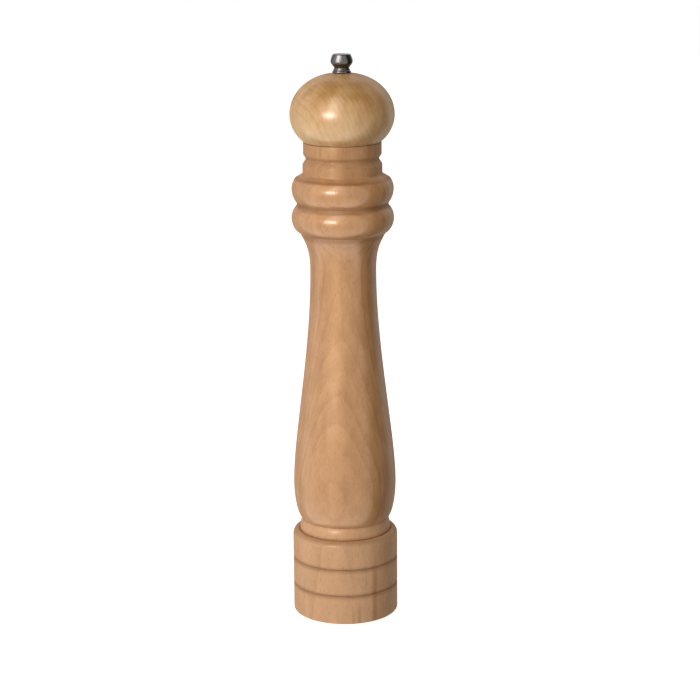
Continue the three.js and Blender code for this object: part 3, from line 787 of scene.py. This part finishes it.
def body_outline():
    """Outline of the body: base, bead, belly, waist, rings and neck, then the bores."""
    bead = arc(at(BEAD.core, BEAD.height), BEAD.bulge, BEAD.above, 0, BEAD.end, STEPS.bead)
    belly = at(BELLY.radius, BELLY.height)
    waist = at(WAIST.radius, WAIST.height)
    lower = bulge(LOWER_RING)
    outline = base_outline() + [BEAD_GROOVE] + bead
    outline += sweep(bead[-1], bead[-1] + BEAD_HANDLE, belly - at(0, BELLY.below), belly,
                     STEPS.under_belly)
    outline += sweep(belly, belly + at(0, BELLY.above), waist - at(0, WAIST.below), waist,
                     STEPS.over_belly)
    outline += sweep(waist, waist + at(0, WAIST.above), lower[0] + CREASE_HANDLE, lower[0],
                     STEPS.over_waist)
    outline += lower[1:] + [RING_GROOVE] + bulge(UPPER_RING) + [
        UPPER_CREASE,
        at(NECK.bead_radius, NECK.bead_bottom),
        at(NECK.bead_radius, NECK.bead_top),
        at(NECK.groove_radius, NECK.groove_bottom),
        at(NECK.groove_radius, NECK.groove_top),
        at(NECK.band_radius, NECK.band_bottom),
        at(NECK.band_radius, NECK.top),
        at(CHAMBER_RADIUS, NECK.top),
        at(CHAMBER_RADIUS, STATOR_SEAT.top),
        at(STATOR_SEAT.radius, STATOR_SEAT.top),
        at(STATOR_SEAT.radius, RECESS.top),
        at(RECESS.radius, RECESS.top),
        at(RECESS.radius, 0),
    ]
    return eased(outline, EDGE.body)


def screw_x(node):
    """Sideways place of a screw, in millimetres."""
    low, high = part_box(node)
    return (low.x + high.x) / 2 / MM


def screw_holes(node):
    """Rods that cut both holes of a pair of screws, a little deeper than the screws reach."""
    low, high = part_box(node)
    reach = screw_x(node)
    return [rod(SCREW_HOLE_RADIUS, low.z / MM, high.z / MM + GAP, x=side * reach)
            for side in (-1, 1)]


def mill_body():
    """The turned body, bored through, with two holes for the crossbar's screws."""
    outline = fitted(body_outline(), "mill_body")
    piece = finished("turned_body", turned("turned_body", outline, SIDES.wood), "mill_body")
    pierced(piece, screw_holes("crossbar_screw_right"))


def head_outline():
    """Outline of the ball head with its spigot, listed counter-clockwise."""
    lower_width = BALL.radius - BALL.lower_core
    upper_width = BALL.radius - BALL.upper_core
    foot = NECK.band_radius + BALL.foot_lip
    start = -math.degrees(math.acos((foot - BALL.lower_core) / lower_width))
    outline = [
        at(SPIGOT.radius - SPIGOT.chamfer, SPIGOT.bottom),
        at(SPIGOT.radius, SPIGOT.bottom + SPIGOT.chamfer),
        at(SPIGOT.radius, SPIGOT.seat),
        at(NECK.band_radius, SPIGOT.seat),
    ]
    outline += arc(at(BALL.lower_core, BALL.height), lower_width, BALL.lower_drop, start, 0,
                   STEPS.under_ball)
    outline += arc(at(BALL.upper_core, BALL.height), upper_width, BALL.upper_rise, 0,
                   BALL.upper_end, STEPS.over_ball)[1:]
    outline += [
        at(HEAD_BORE.bushing_radius, BALL.height + BALL.upper_rise),
        at(HEAD_BORE.bushing_radius, HEAD_BORE.step),
        at(HEAD_BORE.radius, HEAD_BORE.step),
        at(HEAD_BORE.radius, SPIGOT.bottom),
    ]
    return eased(outline, EDGE.head)


def head():
    """The ball head, bored through, with two holes for the drive plate's screws."""
    outline = fitted(head_outline(), "head")
    piece = finished("ball_head", turned("ball_head", outline, SIDES.wood), "head")
    pierced(piece, screw_holes("drive_plate_screw_right"))


# ---------------------------------------- knob and bushings

def knob():
    """Small finial nut with a neck, a rim and a crown."""
    neck = at(KNOB.neck_radius, KNOB.neck_height)
    rim = at(KNOB.rim_radius, KNOB.rim_height)
    crown = at(KNOB.crown_radius, KNOB.crown_height)
    outline = [
        at(0, KNOB.bore_top),
        at(KNOB.bore_radius, KNOB.bore_top),
        at(KNOB.bore_radius, KNOB.bottom),
        at(KNOB.foot_radius, KNOB.bottom),
        at(KNOB.foot_radius, KNOB.bottom + KNOB.foot_height),
        neck,
    ]
    outline += sweep(neck, neck + KNOB_HANDLES.neck, rim + KNOB_HANDLES.under_rim, rim,
                     STEPS.knob)
    outline += sweep(rim, rim + KNOB_HANDLES.over_rim, crown + KNOB_HANDLES.crown, crown,
                     STEPS.knob)
    outline += [
        at(KNOB.crown_radius - KNOB.crown_edge, KNOB.top - KNOB.crown_rise),
        at(0, KNOB.top),
    ]
    outline = fitted(eased(outline, EDGE.turned, closed=False), "knob")
    finished("finial_knob", turned("finial_knob", outline, SIDES.metal), "knob")


def tube(name, node, inner):
    """Plain turned tube or washer that fills a node's box."""
    bottom, top, outer = span(node)
    outline = [at(inner, bottom), at(outer, bottom), at(outer, top), at(inner, top)]
    finished(name, turned(name, eased(outline, EDGE.turned), SIDES.metal), node)


def flanged(name, node, flange, on_top):
    """Bushing with a flange at its top or bottom end, filling a node's box."""
    bottom, top, radius = span(node)
    lower, upper = (flange.stem, radius) if on_top else (radius, flange.stem)
    step = top - flange.height if on_top else bottom + flange.height
    outline = [
        at(flange.bore, bottom),
        at(lower, bottom),
        at(lower, step),
        at(upper, step),
        at(upper, top),
        at(flange.bore, top),
    ]
    finished(name, turned(name, eased(outline, EDGE.flange), SIDES.metal), node)


# ---------------------------------------- shaft and burrs

def thread_radius(height):
    """Radius of the shaft's thread at each angle, for one height: a single helix whose
    crest has a small flat."""
    flat = 1.15

    def radius(angle):
        phase = (height / SHAFT.pitch - angle / (2 * math.pi)) % 1
        crest = 1 - abs(2 * phase - 1)
        rise = SHAFT.thread_radius - SHAFT.thread_core
        return SHAFT.thread_core + rise * min(flat * crest, 1)
    return radius


def bar_radius(side, corner):
    """Radius of a bar's rounded square outline at each angle."""
    def radius(angle):
        across = max(abs(math.cos(angle)), abs(math.sin(angle)))
        return min(side / 2 / across, side / math.sqrt(2) - corner * (math.sqrt(2) - 1))
    return radius


def drive_shaft():
    """Rod with a round, grooved pivot, a square middle and a threaded end."""
    bottom, top, _ = span("drive_shaft")
    square = bar_radius(SHAFT.side, SHAFT.corner)
    pivot, groove = SHAFT.pivot_radius, SHAFT.groove_radius
    stations = [
        (pivot - SHAFT.end_chamfer, bottom),
        (pivot, bottom + SHAFT.end_chamfer),
        (pivot, SHAFT.groove_bottom),
        (groove, SHAFT.groove_bottom),
        (groove, SHAFT.groove_top),
        (pivot, SHAFT.groove_top),
        (pivot, SHAFT.square_bottom),
        (square, SHAFT.square_bottom),
        (square, SHAFT.square_top),
        (SHAFT.thread_radius, SHAFT.square_top),
        (SHAFT.thread_radius, SHAFT.thread_bottom),
    ]
    steps = round((SHAFT.thread_top - SHAFT.thread_bottom) / SHAFT.pitch * STEPS.thread)
    for i in range(steps + 1):
        height = SHAFT.thread_bottom + i * SHAFT.pitch / STEPS.thread
        stations.append((thread_radius(height), height))
    stations.append((SHAFT.thread_core - SHAFT.point_inset, top))
    levels = [circle(radius, height, SIDES.shaft) for radius, height in stations]
    finished("shaft_rod", skin("shaft_rod", levels, ring=False), "drive_shaft")


def tooth(teeth, depth, tip):
    """Radius round a toothed surface. Each tooth has a long back that falls from its tip,
    a small flat at its root and a steep cutting face."""
    flat = 1.05

    def radius(angle):
        phase = angle * teeth / (2 * math.pi) % 1
        if phase < TOOTH_BACK:
            drop = phase / TOOTH_BACK
        else:
            drop = (1 - phase) / (1 - TOOTH_BACK)
        return tip + depth * min(flat * drop, 1)
    return radius


def toothed_levels(knots, teeth, sides):
    """Levels of a toothed surface through (height, tip radius, depth, twist) knots."""
    levels = []
    for lower, upper in zip(knots, knots[1:]):
        for i in range(STEPS.tooth):
            t = i / STEPS.tooth
            height, tip, depth, twist = [a + (b - a) * t for a, b in zip(lower, upper)]
            levels.append(circle(tooth(teeth, depth, tip), height, sides, math.radians(twist)))
    height, tip, depth, twist = knots[-1]
    levels.append(circle(tooth(teeth, depth, tip), height, sides, math.radians(twist)))
    return levels


def rotor_burr():
    """Cone with coarse teeth that lead to fine ones at its lower edge."""
    bottom, top, radius = span("rotor_burr")
    middle = (ROTOR.shoulder + top) / 2
    heights = (bottom, ROTOR.shoulder, middle, top)
    radii = (radius, ROTOR.shoulder_radius, ROTOR.middle_radius, ROTOR.top_radius)
    depths = (-ROTOR.fine, -ROTOR.fine, -ROTOR.coarse, -ROTOR.top_depth)
    knots = list(zip(heights, radii, depths, ROTOR.twists))
    sides = ROTOR.teeth * SIDES.rotor_tooth
    hole = bar_radius(SQUARE_HOLE.side, SQUARE_HOLE.corner)
    levels = toothed_levels(knots, ROTOR.teeth, sides)
    levels += [circle(hole, top, sides), circle(hole, bottom, sides)]
    finished("rotor_cone", skin("rotor_cone", levels, ring=True), "rotor_burr")


def stator_burr():
    """Ring with teeth on its inside."""
    bottom, top, radius = span("stator_burr")
    heights = (bottom, STATOR.throat, top)
    radii = (STATOR.bottom_radius, STATOR.throat_radius, STATOR.top_radius)
    depths = (STATOR.depth, STATOR.depth, STATOR.top_depth)
    knots = list(zip(heights, radii, depths, STATOR.twists))
    sides = STATOR.teeth * SIDES.stator_tooth
    chamfer = STATOR.chamfer
    levels = [
        circle(radius - chamfer, bottom, sides),
        circle(radius, bottom + chamfer, sides),
        circle(radius, top - chamfer, sides),
        circle(radius - chamfer, top, sides),
    ]
    levels += reversed(toothed_levels(knots, STATOR.teeth, sides))
    finished("stator_ring", skin("stator_ring", levels, ring=True), "stator_burr")


# ---------------------------------------- plates and screws

def screw_loops(node):
    """Loops of the two holes that a pair of screws goes through."""
    reach = screw_x(node)
    return [ring_loop(SCREW_HOLE_RADIUS, side * reach, SIDES.hole) for side in (-1, 1)]


def thrust_washer():
    """Washer with a square hole that carries the spring's upper end."""
    bottom, top, radius = span("thrust_washer")
    loops = [ring_loop(radius), rounded_square(SQUARE_HOLE.side, SQUARE_HOLE.corner)]
    finished("spring_washer", plate("spring_washer", loops, bottom, top), "thrust_washer")


def drive_plate():
    """Disc under the spigot with a square hole and two screw holes."""
    bottom, top, radius = span("drive_plate")
    loops = [ring_loop(radius), rounded_square(SQUARE_HOLE.side, SQUARE_HOLE.corner)]
    loops += screw_loops("drive_plate_screw_right")
    finished("drive_disc", plate("drive_disc", loops, bottom, top), "drive_plate")


def crossbar():
    """Strip with round ends, a hole for the shaft's pivot and two for its screws."""
    low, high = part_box("crossbar")
    reach, half = high.x / MM, high.y / MM
    corner = math.degrees(math.asin(half / reach))
    outline = []
    for end in (0, 180):
        outline += arc(Vector((0, 0)), reach, reach, end - corner, end + corner, STEPS.strip_end)
    loops = [outline, ring_loop(PIVOT_HOLE_RADIUS)] + screw_loops("crossbar_screw_right")
    mesh = plate("base_strip", loops, low.z / MM, high.z / MM, EDGE.strip)
    finished("base_strip", mesh, "crossbar")


def retaining_clip():
    """Open ring that snaps into the shaft's groove."""
    bottom, top, radius = span("retaining_clip")
    mouth = CLIP_MOUTH_DEG
    inner = SHAFT.groove_radius + GAP
    origin = Vector((0, 0))
    outline = arc(origin, radius, radius, mouth, 360 - mouth, STEPS.clip_outside)
    outline += arc(origin, inner, inner, 360 - mouth, mouth, STEPS.clip_inside)
    mesh = plate("spring_clip", [outline], bottom, top, EDGE.clip)
    finished("spring_clip", mesh, "retaining_clip")


def screw(name, node):
    """Cross-slotted wood screw, driven upwards."""
    low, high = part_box(node)
    x = screw_x(node)
    crown = low.z / MM
    seat = crown + SCREW.head_height
    tip = high.z / MM
    outline = [at(0, crown)]
    for share, drop in SCREW_DOME:
        outline.append(at(SCREW.head_radius * share, crown + drop))
    outline += [at(SCREW.head_radius, seat), at(SCREW.shank, seat)]
    for turn in range(SCREW.turns):
        start = seat + SCREW.thread_start + turn * SCREW.pitch
        outline += [at(SCREW.shank, start), at(SCREW.core, start + SCREW.pitch / 2)]
    outline += [at(SCREW.shank, tip - SCREW.point), at(0, tip)]
    outline = eased(outline, EDGE.turned, closed=False)
    piece = finished(name, moved(turned(name, outline, SIDES.screw), x), node)
    slot = (crown - CUT_OVERLAP, crown + SCREW.slot_depth, x)
    pierced(piece, [bar(SCREW.slot_length, SCREW.slot_width, *slot),
                    bar(SCREW.slot_width, SCREW.slot_length, *slot)])


def kept_node(name, width, segments):
    """A CAD node that stays as it is, with its edges softened."""
    node = frame["nodes"][name]
    node.data.materials.clear()
    node.data.materials.append(MATERIALS[SLOTS[name]])
    soft = node.modifiers.new("soft_edges", "BEVEL")
    soft.width = width * MM
    soft.segments = segments
    soft.limit_method = "ANGLE"
    soft.harden_normals = True


# ---------------------------------------- stage, light and camera
# Distances are in metres here, powers in watts and angles in degrees. Azimuth 0 is in
# front of the mill and grows to the left. The lens and the sensor are in millimetres.

KEY_AZIMUTH = 27
KEY = Sizes(name="key", azimuth=KEY_AZIMUTH, elevation=14, distance=1.5, width=0.34,
            height=0.34, power=7.4, kind="diffuse")
SPARKLE = Sizes(name="sparkle", azimuth=KEY_AZIMUTH, elevation=14, distance=1.5, width=0.5,
                height=0.24, power=10, kind="glossy")
SIDE = Sizes(name="side", azimuth=78, elevation=4, distance=1.6, width=1.0, height=1.0,
             power=4.2, kind="diffuse")
OVERHEAD = Sizes(name="overhead", azimuth=20, elevation=46, distance=1.5, width=0.6,
                 height=1.1, power=4.2, kind="both")
STRIP = Sizes(name="strip", azimuth=45, elevation=30, distance=1.2, width=0.6, height=1.6,
              power=15, kind="glossy")

# Strengths of the light from all round, and the parts of a unit direction vector between
# which each of them fades.
ROOM = Sizes(left=0.35, right=0.22, backdrop=0.6)
WINDOW = Sizes(strength=1.0, edge=(-0.02, 0.06), top=(0.7, 0.85), table=(-0.75, -0.3),
               table_gain=1.8)
BACKDROP = Sizes(edge=(0.3, 0.95), strength=0.8, room=0.05)

FLOOR = Sizes(half=3.0, below_foot=0.0002, glow=0.8)
CAMERA = Sizes(sensor=36, lens=102.8571, elevation=14, distance=1.0763,
               aim=Vector((0.0033, 0, 0.1463)), roll=-0.4)


def towards(azimuth, elevation=0.0):
    """Unit vector from the mill in a direction given in degrees."""
    a, e = math.radians(azimuth), math.radians(elevation)
    return Vector((-math.sin(a) * math.cos(e), -math.cos(a) * math.cos(e), math.sin(e)))


def area_light(look, target):
    """Soft box aimed at a point. Its kind says what it lights: diffuse, glossy or both."""
    away = towards(look.azimuth, look.elevation)
    data = bpy.data.lights.new(look.name, "AREA")
    data.shape = "RECTANGLE"
    data.size = look.width
    data.size_y = look.height
    data.energy = look.power
    light = placed(look.name, data)
    light.location = target + away * look.distance
    light.rotation_euler = away.to_track_quat("Z", "Y").to_euler()
    light.visible_camera = False
    light.visible_glossy = look.kind != "diffuse"
    light.visible_diffuse = look.kind != "glossy"
    return light


def lit_only(light, names):
    """Keeps a light to the named pieces."""
    pieces = bpy.data.collections.new(light.name + "_pieces")
    for name in names:
        pieces.objects.link(bpy.data.objects[name])
    light.light_linking.receiver_collection = pieces


def background(graph, strength):
    """White light from all round, with a strength that may vary with the direction."""
    node = graph.add("Background")
    graph.feed(node.inputs["Color"], rgb(1, 1, 1))
    graph.feed(node.inputs["Strength"], strength)
    return node.outputs[0]


def surroundings():
    """Studio round the mill. The camera sees plain white. Matt surfaces are lit softly from
    the left, the right and the backdrop. Glossy ones mirror the backdrop behind the mill
    and a wide window in front of it, whose light is strongest down at the table."""
    world = bpy.data.worlds.new("studio")
    bpy.context.scene.world = world
    graph = Graph(world)
    direction = graph.add("TexCoord").outputs["Generated"]
    x, y, z = graph.parts(direction)
    rays = graph.add("LightPath").outputs
    soft = graph.math("ADD", graph.graded(x, -1, 1, ROOM.left, ROOM.right),
                      graph.graded(y, 0, 1, 0, ROOM.backdrop))
    facing = graph.vector("DOT_PRODUCT", direction, towards(KEY_AZIMUTH))
    window = graph.math("MULTIPLY", graph.graded(facing, *WINDOW.edge, 0, WINDOW.strength),
                        graph.graded(z, *WINDOW.top, 1, 0))
    window = graph.math("MULTIPLY", window, graph.graded(z, *WINDOW.table, WINDOW.table_gain, 1))
    behind = graph.graded(y, *BACKDROP.edge, BACKDROP.room, BACKDROP.strength)
    mirrored = graph.math("MAXIMUM", window, behind)
    unseen = graph.fill(graph.add("MixShader"), (
        rays["Is Glossy Ray"], background(graph, soft), background(graph, mirrored)))
    seen = graph.fill(graph.add("MixShader"), (
        rays["Is Camera Ray"], unseen.outputs[0], background(graph, 1.0)))
    graph.feed(graph.add("OutputWorld").inputs["Surface"], seen.outputs[0])


def floor_plane():
    """Plain near-white floor under the mill."""
    graph = Graph(bpy.data.materials.new("floor_paper"))
    paper = graph.noise(graph.position(), (0.3, 0.3, 0.3))
    material = graph.finish(
        Base_Color=graph.mix(paper, rgb(0.8, 0.8, 0.8), rgb(0.84, 0.84, 0.84)),
        Roughness=0.9,
        Emission_Color=rgb(1, 1, 1),
        Emission_Strength=FLOOR.glow,
    )
    mesh = bpy.data.meshes.new("floor")
    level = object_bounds()[0].z - FLOOR.below_foot
    half = FLOOR.half
    corners = [(-half, -half), (half, -half), (half, half), (-half, half)]
    mesh.from_pydata([(x, y, level) for x, y in corners], [], [(0, 1, 2, 3)])
    mesh.materials.append(material)
    floor = placed("floor", mesh)
    floor.visible_diffuse = False
    floor.visible_glossy = False


def camera():
    """Camera in front of the mill, looking slightly down at the aim point."""
    back = towards(0, CAMERA.elevation)
    data = bpy.data.cameras.new("camera")
    data.sensor_width = CAMERA.sensor
    data.lens = CAMERA.lens
    view = placed("camera", data)
    view.location = CAMERA.aim + back * CAMERA.distance
    view.rotation_mode = "QUATERNION"
    roll = Quaternion((0, 0, 1), math.radians(CAMERA.roll))
    view.rotation_quaternion = back.to_track_quat("Z", "Y") @ roll
    bpy.context.scene.camera = view


# ---------------------------------------- assembly

mill_body()
head()
knob()
drive_shaft()
rotor_burr()
stator_burr()
thrust_washer()
drive_plate()
crossbar()
retaining_clip()
tube("knob_thread", "knob_insert", SHAFT.thread_radius + GAP)
tube("burr_washer", "rotor_washer", SHAFT.pivot_radius + GAP)
flanged("cap_bushing", "top_bushing", TOP_FLANGE, on_top=True)
flanged("upper_bearing", "guide_bushing", GUIDE_FLANGE, on_top=False)
flanged("lower_bearing", "crossbar_bushing", PIVOT_FLANGE, on_top=False)
for side in ("left", "right"):
    screw("plate_screw_" + side, "drive_plate_screw_" + side)
    screw("strip_screw_" + side, "crossbar_screw_" + side)
kept_node("guide_bridge", EDGE.bridge, segments=2)
kept_node("pressure_spring", EDGE.spring, segments=1)

low, high = CAD_BOX
middle = Vector((0, 0, (low.z + high.z) / 2))
floor_plane()
surroundings()
for look in (KEY, SPARKLE, SIDE, OVERHEAD):
    area_light(look, middle)
lit_only(area_light(STRIP, middle), ("finial_knob", "cap_bushing"))
camera()
bpy.context.scene.view_settings.view_transform = "Standard"
